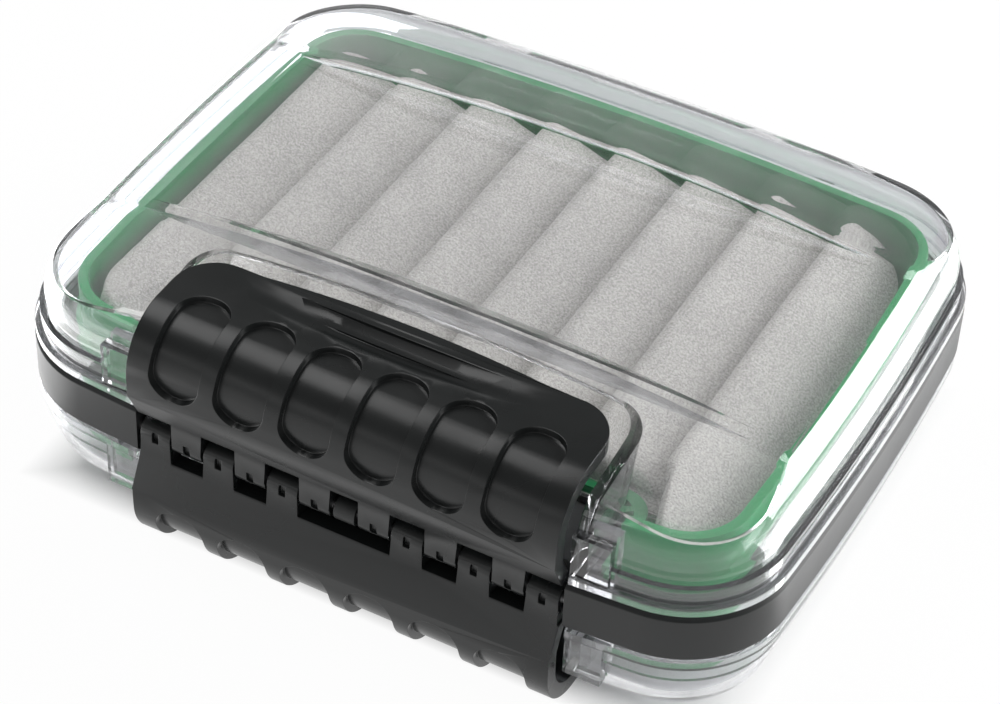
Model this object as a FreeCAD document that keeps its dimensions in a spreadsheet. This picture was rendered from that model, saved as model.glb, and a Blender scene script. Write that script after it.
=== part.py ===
import FreeCAD, Part
import math
import os
import Sketcher

# A double-sided fly box: a dark frame with foam on both faces, two clear hinged lids
# and two latches that turn on one pin. Millimetres, Z up, resting on the lower lid.

os.makedirs("parts", exist_ok=True)

SIZES = {
    # Outline of the frame seen from above
    "half_length": 65.0,
    "half_width": 51.7,
    "corner_radius": 17.8,
    "bow_radius": 615.0,
    "mid_level": 23.25,
    "centre_shift": 0.667,
    "overrun": 4.0,
    "match": 0.02,
    # Frame band
    "band_half": 4.57,
    "band_edge": 0.8,
    "seal_inset": 2.2,
    "seal_width": 1.8,
    "seal_depth": 1.4,
    "seal_step": 0.1,
    "seal_step_width": 1.3,
    "seat_gap": 0.3,
    "window_inset": 7.0,
    # Lid
    "flange_inset": 0.15,
    "flange_top": 6.3,
    "tier_inset": 1.0,
    "tier_top": 9.4,
    "wall_inset": 1.9,
    "lid_wall": 1.5,
    "rest_level": 23.25,
    "land_level": 23.42,
    "crown_radius": 375.0,
    "shoulder_level": 11.6,
    "shoulder_radius": 8.4,
    "steep_share": 0.268,
    "steep_slope_share": 0.577,
    "shallow_share": 0.577,
    "shallow_slope_share": 1.732,
    "strip_start": 24.8,
    "strip_line": 34.0,
    "strip_level": 21.9,
    "strip_end": 48.0,
    "strip_end_level": 19.9,
    "strip_rim_level": 19.2,
    "panel_half_width": 22.4,
    "panel_level": 19.8,
    # Notch of the lid behind the latch
    "notch_half": 37.0,
    "notch_ridge": 28.0,
    "notch_foot": 34.4,
    "notch_level": 22.6,
    "notch_round": 5.0,
    "ledge_reach": 34.5,
    "ledge_low": 8.2,
    "ledge_high": 9.6,
    "ledge_half": 24.0,
    "lug_start": 37.0,
    "lug_end": 43.0,
    "lug_top": 14.0,
    "lug_front": 49.9,
    "lug_back": 45.0,
    # Lid hinge
    "hinge_line": 52.4,
    "barrel_radius": 2.2,
    "hinge_pin_radius": 0.8,
    "pin_clearance": 0.06,
    "arm_front": 50.2,
    "arm_back": 51.95,
    "knuckle_one": 14.0,
    "knuckle_two": 17.3,
    "knuckle_three": 23.6,
    "knuckle_four": 29.9,
    "knuckle_end": 33.2,
    "knuckle_gap": 0.3,
    "hinge_recess": 49.85,
    # Latch
    "latch_line": 48.6,
    "latch_half": 36.2,
    "latch_round": 7.0,
    "latch_pin_radius": 0.9,
    "pin_end_gap": 0.3,
    "knuckle_pitch": 5.63,
    "knuckle_first": 5.07,
    "knuckle_half": 2.66,
    "latch_recess": 46.0,
    "recess_half": 36.6,
    "bore_end": 41.0,
    "core_half_width": 0.55,
    "core_half_height": 0.95,
    "core_depth": 0.75,
    "plate_foot": 50.6,
    "plate_foot_level": 4.1,
    "plate_bulge": 53.3,
    "plate_bulge_level": 9.5,
    "plate_lean": 0.2,
    "plate_top": 22.5,
    "plate_thick": 2.6,
    "plate_round": 9.5,
    "tip_level": 22.9,
    "tip_reach": 32.6,
    "tab_front": 50.8,
    "tab_back": 46.9,
    "tab_level": 4.6,
    "pocket_pitch": 11.2,
    "pocket_first": 5.6,
    "pocket_half": 4.3,
    "pocket_round": 4.0,
    "pocket_depth": 1.3,
    "pocket_low": 11.8,
    "pocket_reach": 40.6,
    "lip_half": 25.5,
    "lip_reach": 31.0,
    "lip_under": 20.4,
    "scoop_line": 36.5,
    "scoop_half": 3.8,
    "scoop_floor_half": 1.3,
    "scoop_level": 21.3,
    "scoop_sweep": 203.0,
    "hook_front": 36.4,
    "hook_back": 35.2,
    "hook_low": 10.2,
    "hook_half": 17.0,
    # Tray
    "tray_gap": 0.3,
    "tray_wall": 1.6,
    "tray_top": 12.9,
    "web_half": 0.8,
    "collar_width": 1.2,
    "collar_thick": 1.0,
    "tray_notch_half": 39.6,
    "tray_notch_line": 31.9,
    "tray_step_level": 6.0,
    # Foam
    "foam_gap": 1.2,
    "foam_end_margin": 2.4,
    "foam_side_margin": 3.3,
    "foam_round": 8.0,
    "foam_crest": 11.6,
    "foam_valley": 6.6,
    "foam_lip": 4.0,
    "foam_under": 1.8,
    "foam_notch_half": 42.3,
    "foam_notch_line": 28.9,
    "foam_notch_lean": 3.0,
    "glue_thick": 0.15,
}

PLATE_FACE = "(plate_bulge - plate_lean)"
FOAM_ROOM = "window_inset - tray_gap - tray_wall"
FOAM_HALF_LENGTH = "(half_length - " + FOAM_ROOM + " - foam_end_margin)"
FOAM_HALF_WIDTH = "(half_width - " + FOAM_ROOM + " - foam_side_margin)"
RIDGES = 8

doc = FreeCAD.newDocument("FlyBox")
sheet = doc.addObject("Spreadsheet::Sheet", "Params")
for row, (alias, value) in enumerate(SIZES.items(), start=1):
    sheet.set("A" + str(row), alias)
    sheet.set("B" + str(row), str(value))
    sheet.setAlias("B" + str(row), alias)
doc.recompute()


def size(text):
    """Reads an expression of sheet names and returns its value."""
    return float(sheet.evalExpression(bound(text)))


def bound(text):
    """Puts the sheet's name before each size name in an expression."""
    words = []
    word = ""
    for mark in text + " ":
        if mark.isalpha() or mark == "_":
            word += mark
            continue
        if word:
            words.append("Params." + word if word in SIZES else word)
            word = ""
        words.append(mark)
    return "".join(words).strip()


def body(label):
    piece = doc.addObject("PartDesign::Body", label)
    piece.Label = label
    return piece


def plane_of(piece, role):
    return next(feature for feature in piece.Origin.OriginFeatures if feature.Role == role)


def sketch_on(piece, name, role, level="0"):
    """Makes an empty sketch on one of the body's own planes, at a level along its normal."""
    sketch = piece.newObject("Sketcher::SketchObject", name)
    sketch.AttachmentSupport = (plane_of(piece, role), [""])
    sketch.MapMode = "FlatFace"
    if level != "0":
        sketch.setExpression("AttachmentOffset.Base.z", bound(level))
    return sketch


def pin_point(sketch, shape_number, point, x_text, y_text):
    """Ties a point of a sketch to the origin by two sizes."""
    for kind, text in (("DistanceX", x_text), ("DistanceY", y_text)):
        sketch.addConstraint(Sketcher.Constraint(kind, -1, 1, shape_number, point, size(text)))
        index = sketch.ConstraintCount - 1
        sketch.setExpression("Constraints[" + str(index) + "]", bound(text))


def add_polygon(sketch, corners):
    """Adds a closed polygon whose corners are pairs of size expressions."""
    places = [FreeCAD.Vector(size(x), size(y), 0) for x, y in corners]
    count = len(places)
    first = sketch.GeometryCount
    for number in range(count):
        line = Part.LineSegment(places[number], places[(number + 1) % count])
        sketch.addGeometry(line, False)
    for number in range(count):
        after = first + (number + 1) % count
        sketch.addConstraint(Sketcher.Constraint("Coincident", first + number, 2, after, 1))
        pin_point(sketch, first + number, 1, corners[number][0], corners[number][1])


def add_circle(sketch, x_text, y_text, radius_text):
    centre = FreeCAD.Vector(size(x_text), size(y_text), 0)
    number = sketch.GeometryCount
    sketch.addGeometry(Part.Circle(centre, FreeCAD.Vector(0, 0, 1), size(radius_text)), False)
    pin_point(sketch, number, 3, x_text, y_text)
    set_radius(sketch, number, radius_text)


def set_radius(sketch, number, text):
    sketch.addConstraint(Sketcher.Constraint("Radius", number, size(text)))
    index = sketch.ConstraintCount - 1
    sketch.setExpression("Constraints[" + str(index) + "]", bound(text))


def corner_centre(length, width, bow, corner):
    """Finds the centre of a corner arc that touches a long and a short bowed side."""
    x = length - corner
    y = width - corner
    for turn in range(40):
        x = math.sqrt((bow - corner) ** 2 - y ** 2) - (bow - length)
        y = math.sqrt((bow - corner) ** 2 - x ** 2) - (bow - width)
    return x, y


def add_outline(sketch, inset):
    """Adds the closed outline of four bowed sides and four corner arcs, inset evenly."""
    length = size("half_length - (" + inset + ")")
    width = size("half_width - (" + inset + ")")
    bow = size("bow_radius - (" + inset + ")")
    corner = size("corner_radius - (" + inset + ")")
    x, y = corner_centre(length, width, bow, corner)
    normal = FreeCAD.Vector(0, 0, 1)
    lean = math.atan2(x, y + bow - width)
    rise = math.atan2(y, x + bow - length)
    quarter = math.pi / 2
    arcs = [
        (0, width - bow, bow, quarter - lean, quarter + lean),
        (-x, y, corner, quarter + lean, math.pi - rise),
        (bow - length, 0, bow, math.pi - rise, math.pi + rise),
        (-x, -y, corner, math.pi + rise, 3 * quarter - lean),
        (0, bow - width, bow, 3 * quarter - lean, 3 * quarter + lean),
        (x, -y, corner, 3 * quarter + lean, 4 * quarter - rise),
        (length - bow, 0, bow, -rise, rise),
        (x, y, corner, rise, quarter - lean),
    ]
    first = sketch.GeometryCount
    for middle_x, middle_y, radius, start, stop in arcs:
        circle = Part.Circle(FreeCAD.Vector(middle_x, middle_y, 0), normal, radius)
        sketch.addGeometry(Part.ArcOfCircle(circle, start, stop), False)
    for number in range(len(arcs)):
        after = first + (number + 1) % len(arcs)
        sketch.addConstraint(Sketcher.Constraint("Tangent", first + number, 2, after, 1))
    long_reach = "bow_radius - half_width"
    short_reach = "bow_radius - half_length"
    pin_point(sketch, first, 3, "0", "0 - (" + long_reach + ")")
    pin_point(sketch, first + 2, 3, short_reach, "0")
    pin_point(sketch, first + 4, 3, "0", long_reach)
    pin_point(sketch, first + 6, 3, "0 - (" + short_reach + ")", "0")
    for number in range(len(arcs)):
        name = "corner_radius" if number % 2 else "bow_radius"
        set_radius(sketch, first + number, name + " - (" + inset + ")")


def pad(piece, sketch, name, length, both_ways=False, turned=False):
    feature = piece.newObject("PartDesign::Pad", name)
    feature.Profile = sketch
    feature.Midplane = both_ways
    feature.Reversed = turned
    feature.setExpression("Length", bound(length))
    return feature


def pocket(piece, sketch, name, length, both_ways=False, turned=False):
    feature = piece.newObject("PartDesign::Pocket", name)
    feature.Profile = sketch
    feature.Midplane = both_ways
    feature.Reversed = turned
    feature.setExpression("Length", bound(length))
    return feature


def groove(piece, sketch, name, axis, turn):
    """Cuts what a sketch sweeps when it turns about one of its own lines."""
    feature = piece.newObject("PartDesign::Groove", name)
    feature.Profile = sketch
    feature.ReferenceAxis = (sketch, [axis])
    feature.Midplane = True
    feature.Angle = turn
    return feature


def round_edges(piece, base, name, radius, wanted):
    """Rounds the edges of a feature that pass the test."""
    doc.recompute()
    names = []
    for number, edge in enumerate(base.Shape.Edges, start=1):
        if wanted(edge):
            names.append("Edge" + str(number))
    if not names:
        raise RuntimeError("no edge to round for " + name)
    feature = piece.newObject("PartDesign::Fillet", name)
    feature.Base = (base, names)
    feature.setExpression("Radius", bound(radius))
    doc.recompute()
    return feature


def slab(label, inset, low, high):
    """A plate with the frame's outline between two levels."""
    piece = body(label)
    outline = sketch_on(piece, label + "_outline", "XY_Plane", low)
    add_outline(outline, inset)
    pad(piece, outline, label + "_pad", "(" + high + ") - (" + low + ")")
    return piece


def box_piece(label, low_x, high_x, low_y, high_y, low, high):
    piece = body(label)
    outline = sketch_on(piece, label + "_outline", "XY_Plane", low)
    corners = [(low_x, low_y), (high_x, low_y), (high_x, high_y), (low_x, high_y)]
    add_polygon(outline, corners)
    pad(piece, outline, label + "_pad", "(" + high + ") - (" + low + ")")
    return piece


def bar(label, corners, start, stop):
    """A bar along X between two places, with a section drawn in Y and Z."""
    piece = body(label)
    section = sketch_on(piece, label + "_section", "YZ_Plane", start)
    add_polygon(section, corners)
    pad(piece, section, label + "_pad", "(" + stop + ") - (" + start + ")")
    return piece


def rod(label, line, radius, start, stop):
    """A round bar along X between two places, on the middle level."""
    piece = body(label)
    section = sketch_on(piece, label + "_section", "YZ_Plane", start)
    add_circle(section, line, "0", radius)
    pad(piece, section, label + "_pad", "(" + stop + ") - (" + start + ")")
    return piece


def join(label, pieces):
    result = doc.addObject("Part::MultiFuse", label)
    result.Label = label
    result.Shapes = pieces
    result.Refine = True
    return result


def cut(label, base, tools):
    tool = tools[0] if len(tools) == 1 else join(label + "_tools", tools)
    result = doc.addObject("Part::Cut", label)
    result.Label = label
    result.Base = base
    result.Tool = tool
    return result


def common(label, one, other):
    result = doc.addObject("Part::MultiCommon", label)
    result.Label = label
    result.Shapes = [one, other]
    return result


# Shell form of a lid, drawn once for the outside and once, thinner, for the hollow
def lid_form(label, thin):
    """The crowned form of a lid, every face moved inward by the given thickness."""
    steep = bevelled_slab(label + "_steep", thin, "steep_share", "steep_slope_share")
    shallow = bevelled_slab(label + "_shallow", thin, "shallow_share", "shallow_slope_share")
    block = common(label + "_block", steep, shallow)
    half = "panel_half_width + " + thin
    panel = box_piece(
        label + "_panel", "0 - half_length", "half_length", "0 - (" + half + ")", half,
        "panel_level - " + thin, "rest_level + overrun")
    return cut(label, block, [crown_tool(label, thin), panel, notch_tool(label, thin)])


def bevelled_slab(label, thin, share, slope):
    """A slab whose top edge has a bevel that touches the round of the shoulder."""
    start = "band_half + seat_gap" if thin == "0" else "band_half + seat_gap - overrun"
    top = "rest_level - " + thin
    piece = slab(label, "wall_inset + " + thin, start, top)
    doc.recompute()
    level = size(top)
    drop = top + " - shoulder_level - (shoulder_radius - " + thin + ") * " + share
    solid = piece.Tip
    bevel = piece.newObject("PartDesign::Chamfer", label + "_bevel")
    bevel.Base = (solid, edges_at_level(solid, level))
    bevel.ChamferType = "Two distances"
    bevel.setExpression("Size", bound(drop))
    bevel.setExpression("Size2", bound("(" + drop + ") * " + slope))
    return piece


def edges_at_level(feature, level):
    """Names of the edges of a feature that lie flat at a level."""
    names = []
    for number, edge in enumerate(feature.Shape.Edges, start=1):
        box = edge.BoundBox
        if max(abs(box.ZMin - level), abs(box.ZMax - level)) < size("match"):
            names.append("Edge" + str(number))
    if not names:
        raise RuntimeError("no edge at the level in " + feature.Name)
    return names


def crown_tool(label, thin):
    """The region above the long strips, turned about a line far below so that they crown."""
    piece = body(label + "_crown")
    section = sketch_on(piece, label + "_crown_section", "YZ_Plane")
    roof = "rest_level + overrun"
    for side in ("", "0 - "):
        add_polygon(section, [
            (side + "(panel_half_width - overrun)", "land_level - " + thin),
            (side + "strip_start", "land_level - " + thin),
            (side + "strip_line", "strip_level - " + thin),
            (side + "strip_end", "strip_end_level - " + thin),
            (side + "(half_width + overrun)", "strip_rim_level - " + thin),
            (side + "(half_width + overrun)", roof),
            (side + "(panel_half_width - overrun)", roof)])
    depth = "land_level - crown_radius"
    level = size(depth)
    reach = size("half_width")
    number = section.GeometryCount
    section.addGeometry(Part.LineSegment(
        FreeCAD.Vector(-reach, level, 0), FreeCAD.Vector(reach, level, 0)), True)
    pin_point(section, number, 1, "0 - half_width", depth)
    pin_point(section, number, 2, "half_width", depth)
    turn = piece.newObject("PartDesign::Revolution", label + "_crown_turn")
    turn.Profile = section
    turn.ReferenceAxis = (section, ["Axis0"])
    turn.Midplane = True
    turn.Angle = 24
    return piece


def notch_tool(label, thin):
    """The space in front of the leaning wall behind the latch, round at its inner ends."""
    piece = body(label + "_notch")
    section = sketch_on(piece, label + "_notch_section", "YZ_Plane")
    add_notch(section, thin)
    block = pad(piece, section, label + "_notch_pad", "2 * (notch_half + " + thin + ")", both_ways=True)
    middle = -size("notch_foot")
    round_edges(piece, block, label + "_notch_round", "notch_round", lambda edge: (
        edge.BoundBox.XLength < size("match") and edge.BoundBox.ZLength > size("notch_level")
        and edge.BoundBox.YMin < middle < edge.BoundBox.YMax))
    return piece


def add_notch(sketch, thin):
    """The region in front of the leaning wall behind the latch."""
    far = "0 - (half_width + 2 * overrun)"
    low = "band_half + seat_gap - 2 * overrun"
    slope = "(notch_foot - notch_ridge) / (notch_level - band_half)"
    foot = "0 - (notch_foot - " + thin + " + 2 * overrun * " + slope + ")"
    ridge = "0 - (notch_ridge - " + thin + " - 2 * overrun * " + slope + ")"
    add_polygon(sketch, [
        (far, low), (foot, "band_half - 2 * overrun"),
        (ridge, "notch_level + 2 * overrun"), (far, "notch_level + 2 * overrun")])


def notched_slab(label, inset, low, high, line, half):
    """A plate with the frame's outline, stepped back behind the latch to a line."""
    piece = slab(label, inset, low, high)
    step = sketch_on(piece, label + "_step", "XY_Plane", low)
    far = "0 - (half_width + overrun)"
    add_polygon(step, [("0 - (" + half + ")", far), (half, far),
                       (half, "0 - (" + line + ")"), ("0 - (" + half + ")", "0 - (" + line + ")")])
    deep = "(" + high + ") - (" + low + ") + overrun"
    stepped = pocket(piece, step, label + "_step_cut", deep, turned=True)
    reach, side = size(line), size(half)
    round_edges(piece, stepped, label + "_step_round", "notch_round", lambda edge: (
        abs(abs(edge.BoundBox.XMin) - side) < size("match")
        and abs(edge.BoundBox.YMin + reach) < size("match")
        and edge.BoundBox.ZLength > edge.BoundBox.XLength + edge.BoundBox.YLength))
    return piece


def ring(label, outer, inner, low, high, step_in, step_wide):
    """A ring along the lid's outline; behind the latch it has its own inset and width."""
    outside = notched_slab(
        label + "_outside", outer, low, high,
        "notch_foot - " + step_in, "notch_half + " + step_in)
    inside = notched_slab(
        label + "_inside", inner, low + " - overrun", high + " + overrun",
        "notch_foot - " + step_in + " - " + step_wide, "notch_half + " + step_in + " + " + step_wide)
    return cut(label, outside, [inside])


# Clear lid without its knuckles; both lids share this form
def make_lid_body():
    outside = lid_form("lid_outside", "0")
    hollow = lid_form("lid_hollow", "lid_wall")
    shell = cut("lid_shell", outside, [hollow])
    start = "band_half + seat_gap"
    flange = ring("lid_flange", "flange_inset", "wall_inset + lid_wall", start, "flange_top",
                  "0", "lid_wall")
    tier = ring("lid_tier", "tier_inset", "wall_inset + lid_wall / 2", start, "tier_top",
                "lid_wall / 3", "lid_wall / 2")
    ledge = bar("lid_ledge", [
        ("0 - ledge_reach", "ledge_low"), ("0 - ledge_reach", "ledge_high"),
        ("0 - (notch_foot - lid_wall / 2 - (ledge_high - band_half) / 3)", "ledge_high"),
        ("0 - (notch_foot - lid_wall / 2 - (ledge_low - band_half) / 3)", "ledge_low")],
        "0 - ledge_half", "ledge_half")
    pieces = [shell, flange, tier, ledge]
    for side, low, high in (("left", "0 - lug_end", "0 - lug_start"),
                            ("right", "lug_start", "lug_end")):
        pieces.append(box_piece(
            "lid_lug_" + side, low, high, "0 - lug_front", "0 - lug_back", start, "lug_top"))
    return join("lid_body", pieces)


def make_lid(label, lid_body, knuckles):
    """Adds a lid's own hinge knuckles, each between two places along X."""
    start = "band_half + seat_gap"
    pieces = [lid_body]
    bores = []
    for number, (low, high) in enumerate(knuckles):
        name = label + "_knuckle_" + str(number)
        pieces.append(rod(name + "_barrel", "hinge_line", "barrel_radius", low, high))
        pieces.append(bar(name + "_arm", [
            ("arm_front", "0"), ("arm_back", "0"), ("arm_back", "flange_top"),
            ("arm_front - lid_wall", "flange_top"), ("arm_front - lid_wall", start),
            ("arm_front", start)], low, high))
        bores.append(rod(name + "_bore", "hinge_line", "hinge_pin_radius + pin_clearance",
                         low + " - overrun", high + " + overrun"))
    return cut(label, join(label + "_pieces", pieces), bores)


# Frame
def make_frame():
    band = body("band")
    outline = sketch_on(band, "band_outline", "XY_Plane", "0 - band_half")
    add_outline(outline, "0")
    block = pad(band, outline, "band_pad", "2 * band_half")
    doc.recompute()
    edges = band.newObject("PartDesign::Chamfer", "band_edges")
    level = size("band_half")
    edges.Base = (block, edges_at_level(block, level) + edges_at_level(block, -level))
    edges.setExpression("Size", bound("band_edge"))
    tools = []
    tools.append(notched_slab(
        "frame_window", "window_inset", "0 - band_half - overrun", "band_half + overrun",
        "tray_notch_line", "tray_notch_half"))
    for side, low, high in (("upper", "band_half - seal_depth", "band_half + overrun"),
                            ("lower", "0 - band_half - overrun", "0 - band_half + seal_depth")):
        tools.append(ring("seal_groove_" + side, "seal_inset", "seal_inset + seal_width",
                          low, high, "seal_step", "seal_step_width"))
    tools.append(box_piece(
        "latch_recess_cut", "0 - recess_half", "recess_half", "0 - half_width - overrun",
        "0 - latch_recess", "0 - band_half - overrun", "band_half + overrun"))
    for name, low, high in (
            ("right", "knuckle_one", "knuckle_end"),
            ("left", "0 - knuckle_end", "0 - knuckle_one")):
        tools.append(box_piece(
            "hinge_recess_" + name, low + " - knuckle_gap", high + " + knuckle_gap",
            "hinge_recess", "half_width + overrun",
            "0 - band_half - overrun", "band_half + overrun"))
    hollow = cut("frame_hollow", band, tools)
    pieces = [hollow]
    for number, (low, high) in enumerate((
            ("knuckle_one", "knuckle_two - knuckle_gap"), ("knuckle_four", "knuckle_end"),
            ("0 - (knuckle_two - knuckle_gap)", "0 - knuckle_one"),
            ("0 - knuckle_end", "0 - knuckle_four"))):
        name = "frame_ear_" + str(number)
        pieces.append(rod(name, "hinge_line", "barrel_radius", low, high))
        pieces.append(bar(name + "_foot", [
            ("hinge_recess - lid_wall", "0 - barrel_radius"), ("hinge_line", "0 - barrel_radius"),
            ("hinge_line", "barrel_radius"), ("hinge_recess - lid_wall", "barrel_radius")], low, high))
    middle = "knuckle_first - knuckle_half - 2 * knuckle_gap"
    pieces.append(rod("frame_middle", "0 - latch_line", "barrel_radius", "0 - (" + middle + ")", middle))
    pieces.append(bar("frame_middle_foot", [
        ("0 - latch_line", "0 - barrel_radius"), ("0 - latch_recess + lid_wall", "0 - barrel_radius"),
        ("0 - latch_recess + lid_wall", "barrel_radius"), ("0 - latch_line", "barrel_radius")],
        "0 - (" + middle + ")", middle))
    solid = join("frame_solid", pieces)
    bores = [rod("latch_bore", "0 - latch_line", "latch_pin_radius + pin_clearance",
                 "0 - bore_end", "bore_end")]
    for name, low, high in (("right", "knuckle_one", "knuckle_end"),
                            ("left", "0 - knuckle_end", "0 - knuckle_one")):
        bores.append(rod(
            "frame_bore_" + name, "hinge_line", "hinge_pin_radius + pin_clearance",
            low + " - knuckle_gap", high + " + knuckle_gap"))
    return cut("centre_frame", solid, bores)


# Tray with a wall all round and a web between the two foam mats
def make_tray():
    outer = "window_inset + tray_gap"
    inner = outer + " + tray_wall"
    line = "tray_notch_line - tray_gap"
    half = "tray_notch_half + tray_gap"
    wall = notched_slab("tray_block", outer, "0 - tray_top", "tray_top", line, half)
    inner_line = line + " - tray_wall"
    inner_half = half + " + tray_wall"
    upper = notched_slab(
        "tray_upper_hollow", inner, "web_half", "tray_top + overrun", inner_line, inner_half)
    lower = notched_slab(
        "tray_lower_hollow", inner, "0 - tray_top - overrun", "0 - web_half",
        inner_line, inner_half)
    collar = notched_slab(
        "tray_collar", outer + " - collar_width", "band_half", "band_half + collar_thick",
        line + " - tray_wall / 2", half + " + tray_wall / 2")
    core = notched_slab(
        "tray_core", outer + " + tray_wall / 2", "band_half - overrun", "band_half + overrun",
        inner_line, inner_half)
    brim = cut("tray_brim", collar, [core])
    steps = []
    for side, low, high in (("upper", "tray_step_level", "tray_top + overrun"),
                            ("lower", "0 - tray_top - overrun", "0 - tray_step_level")):
        steps.append(box_piece(
            "tray_step_" + side, "0 - (" + inner_half + ")", inner_half,
            "0 - half_width", "0 - (" + inner_line + ") + tray_gap", low, high))
    return cut("inner_tray", join("tray_solid", [wall, brim]), [upper, lower] + steps)


# Foam mat with eight ridges like overlapping shingles
def make_foam():
    piece = body("foam_ridges")
    section = sketch_on(piece, "foam_section", "XZ_Plane")
    base = "web_half + glue_thick"
    pitch = "2 * " + FOAM_HALF_LENGTH + " / " + str(RIDGES)
    corners = [("0 - " + FOAM_HALF_LENGTH, base)]
    for number in range(RIDGES):
        left = "0 - " + FOAM_HALF_LENGTH + " + " + str(number) + " * " + pitch
        if number:
            corners.append((left + " + foam_under", "foam_valley"))
        corners.append((left, "foam_valley + foam_lip / 3"))
        corners.append((left, "foam_crest - foam_lip / 4"))
        corners.append((left + " + foam_lip / 4", "foam_crest"))
    corners.append((FOAM_HALF_LENGTH + " - foam_lip / 4", "foam_valley + foam_lip / 2"))
    corners.append((FOAM_HALF_LENGTH, "foam_valley"))
    corners.append((FOAM_HALF_LENGTH, base))
    add_polygon(section, corners)
    pad(piece, section, "foam_pad", "4 * " + FOAM_HALF_WIDTH, both_ways=True)
    form = body("foam_form")
    plan = sketch_on(form, "foam_plan", "XY_Plane")
    add_polygon(plan, foam_plan())
    block = pad(form, plan, "foam_form_pad", "foam_crest + overrun")
    round_edges(form, block, "foam_corners", "foam_round", is_mat_corner)
    return common("upper_foam", piece, form)


def foam_plan():
    front = "0 - " + FOAM_HALF_WIDTH
    return [
        ("0 - " + FOAM_HALF_LENGTH, front), ("0 - foam_notch_half - foam_notch_lean", front),
        ("0 - foam_notch_half", "0 - foam_notch_line"), ("foam_notch_half", "0 - foam_notch_line"),
        ("foam_notch_half + foam_notch_lean", front), (FOAM_HALF_LENGTH, front),
        (FOAM_HALF_LENGTH, FOAM_HALF_WIDTH), ("0 - " + FOAM_HALF_LENGTH, FOAM_HALF_WIDTH)]


def is_mat_corner(edge):
    """True for the four upright edges at the outer corners of a mat."""
    beyond = size("(foam_notch_half + foam_notch_lean + " + FOAM_HALF_LENGTH + ") / 2")
    box = edge.BoundBox
    return box.XLength + box.YLength < size("match") and abs(box.XMin) > beyond


def make_glue():
    piece = body("upper_adhesive")
    plan = sketch_on(piece, "glue_plan", "XY_Plane", "web_half")
    corners = []
    for x_text, y_text in foam_plan():
        corners.append((shrink(x_text), shrink(y_text)))
    add_polygon(plan, corners)
    block = pad(piece, plan, "glue_pad", "glue_thick")
    round_edges(piece, block, "glue_corners", "foam_round", is_mat_corner)
    return piece


def shrink(text):
    """Moves a place one glue margin toward the middle."""
    if text.startswith("0"):
        return text + " + foam_gap"
    return text + " - foam_gap"


# Latch plate with six finger pockets, a lip and its own set of knuckles
def make_latch(label, tabs):
    plate = body(label + "_plate")
    section = sketch_on(plate, label + "_section", "YZ_Plane")
    add_polygon(section, [
        ("0 - plate_foot", "plate_foot_level"),
        ("0 - plate_bulge", "plate_bulge_level"),
        ("0 - " + PLATE_FACE, "plate_top"),
        ("0 - tip_reach", "tip_level"),
        ("0 - tip_reach", "tip_level - plate_thick"),
        ("0 - " + PLATE_FACE + " + plate_thick", "plate_top - plate_thick"),
        ("0 - plate_bulge + plate_thick", "plate_bulge_level"),
        ("0 - plate_foot + plate_thick", "plate_foot_level")])
    block = pad(plate, section, label + "_pad", "2 * latch_half", both_ways=True)
    outer = round_edges(plate, block, label + "_outer_round", "plate_round",
                        lambda edge: along_x_at(edge, PLATE_FACE, "plate_top", "0"))
    inner = round_edges(plate, outer, label + "_inner_round", "plate_round - plate_thick",
                        lambda edge: along_x_at(edge, PLATE_FACE, "plate_top", "plate_thick"))
    round_edges(plate, inner, label + "_corners", "latch_round", is_tip_corner)
    scoop = sketch_on(plate, label + "_scoop", "YZ_Plane")
    add_polygon(scoop, [
        ("0 - scoop_line - scoop_floor_half", "scoop_level"),
        ("0 - scoop_line + scoop_floor_half", "scoop_level"),
        ("0 - scoop_line + scoop_half", "tip_level"),
        ("0 - scoop_line + scoop_half", "tip_level + overrun"),
        ("0 - scoop_line - scoop_half", "tip_level + overrun"),
        ("0 - scoop_line - scoop_half", "tip_level")])
    depth = "scoop_level + scoop_sweep"
    far, near, level = size("0 - half_width"), size("0 - barrel_radius"), size(depth)
    number = scoop.GeometryCount
    scoop.addGeometry(Part.LineSegment(
        FreeCAD.Vector(far, level, 0), FreeCAD.Vector(near, level, 0)), True)
    pin_point(scoop, number, 1, "0 - half_width", depth)
    pin_point(scoop, number, 2, "0 - barrel_radius", depth)
    groove(plate, scoop, label + "_scoop_cut", "Axis0", 24)
    pieces = [plate, make_lip(label)]
    pieces.append(bar(label + "_hook", [
        ("0 - hook_front", "hook_low"), ("0 - hook_back", "hook_low"),
        ("0 - hook_back", "lip_under + plate_thick / 2"),
        ("0 - hook_front", "lip_under + plate_thick / 2")], "0 - hook_half", "hook_half"))
    cores = []
    for number, middle in enumerate(tabs):
        start = middle + " - knuckle_half"
        stop = middle + " + knuckle_half"
        name = label + "_knuckle_" + str(number)
        pieces.append(rod(name, "0 - latch_line", "barrel_radius", start, stop))
        pieces.append(bar(name + "_tab", [
            ("0 - tab_front", "0"), ("0 - tab_front", "tab_level"),
            ("0 - tab_back - lid_wall / 2", "tab_level"), ("0 - tab_back", "0")], start, stop))
        cores.append(box_piece(
            name + "_core", middle + " - core_half_width", middle + " + core_half_width",
            "0 - tab_front - overrun", "0 - tab_front + core_depth",
            "0 - core_half_height", "core_half_height"))
    cores.append(rod(label + "_bore", "0 - latch_line", "latch_pin_radius + pin_clearance",
                     "0 - bore_end", "bore_end"))
    for number in range(3):
        middle = "(pocket_first + " + str(number) + " * pocket_pitch)"
        cores.append(make_pocket(label + "_pocket_right_" + str(number), middle))
        cores.append(make_pocket(label + "_pocket_left_" + str(number), "(0 - " + middle + ")"))
    return cut(label, join(label + "_solid", pieces), cores)


def near(value, text):
    """True where a measured value equals an expression of sizes."""
    return abs(value - size(text)) < size("match")


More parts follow.
